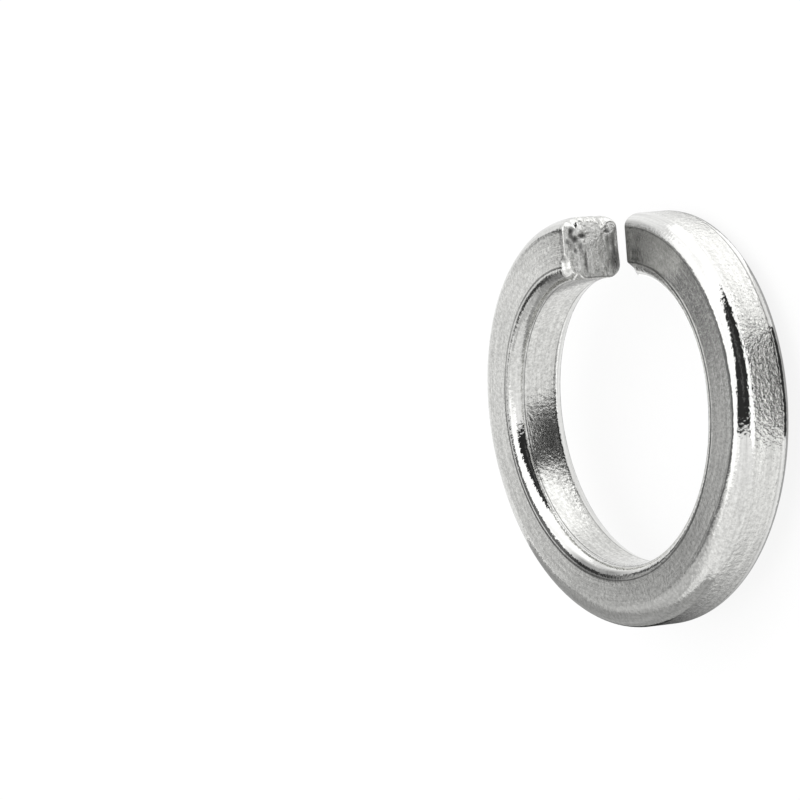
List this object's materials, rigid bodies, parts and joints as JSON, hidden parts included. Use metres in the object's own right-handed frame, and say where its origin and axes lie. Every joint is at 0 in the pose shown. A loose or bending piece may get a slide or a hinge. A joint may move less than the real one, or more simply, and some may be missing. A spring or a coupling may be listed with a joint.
{
  "type": "spring lock washer",
  "caption": "Split ring of square wire with rounded edges; its offset ends bite under a screw head and stop it from working loose.",
  "frame": {"origin": "on the bore's axis, at the plane that the low end rests on", "axes": "+Z along the bore's axis, towards the high end; +X through the split between the two ends"},
  "size_m": [0.0234, 0.0234, 0.0077],
  "materials": {
    "steel": "tumbled bright spring steel, satin, with sheared ends"
  },
  "bodies": {
    "root": {"washer": "steel"}
  },
  "joints": []
}
